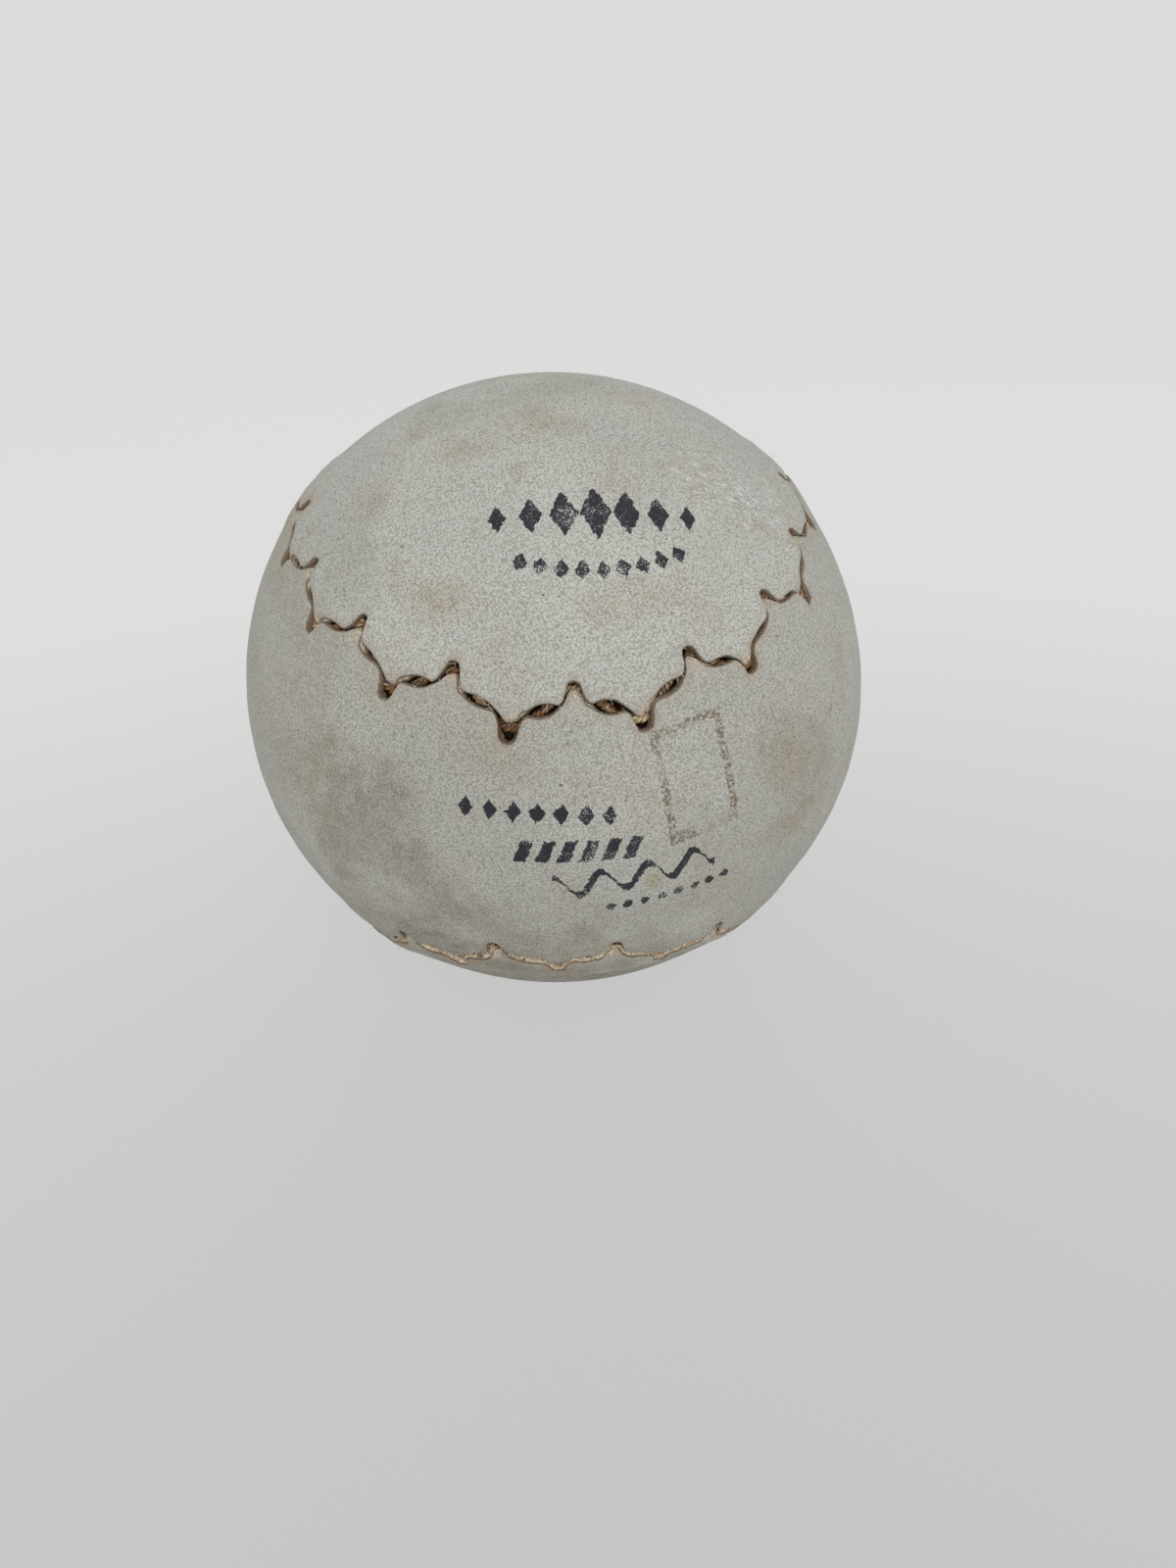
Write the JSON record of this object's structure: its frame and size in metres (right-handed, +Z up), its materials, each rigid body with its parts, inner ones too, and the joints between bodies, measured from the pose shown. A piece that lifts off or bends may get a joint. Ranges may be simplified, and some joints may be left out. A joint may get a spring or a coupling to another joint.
{
  "type": "softball",
  "caption": "Leather ball with a wound centre and a two-panel cover whose tabbed edges interlock along one seam laced with waxed thread",
  "frame": {"origin": "centre of the ball", "axes": "+Z up through the middles of panel A's two lobes, -Y out through the middle of panel B's waist, +Y out through the middle of panel A's waist, X through the middles of panel B's lobes"},
  "size_m": [0.097, 0.097, 0.097],
  "materials": {
    "kapok_fibre": "pressed plant fibre",
    "coarse_yarn": "wound coarse yarn",
    "fine_yarn": "wound fine yarn",
    "latex": "dipped latex, slightly glossy",
    "panel_leather": "aged off-white leather, matt, scuffed and stained",
    "waxed_thread": "twisted thread, waxed"
  },
  "bodies": {
    "root": {"fibre_core": "kapok_fibre", "coarse_winding": "coarse_yarn", "fine_winding": "fine_yarn", "latex_coat": "latex", "cover_panel_a": "panel_leather", "cover_panel_b": "panel_leather", "seam_thread": "waxed_thread"}
  },
  "joints": []
}
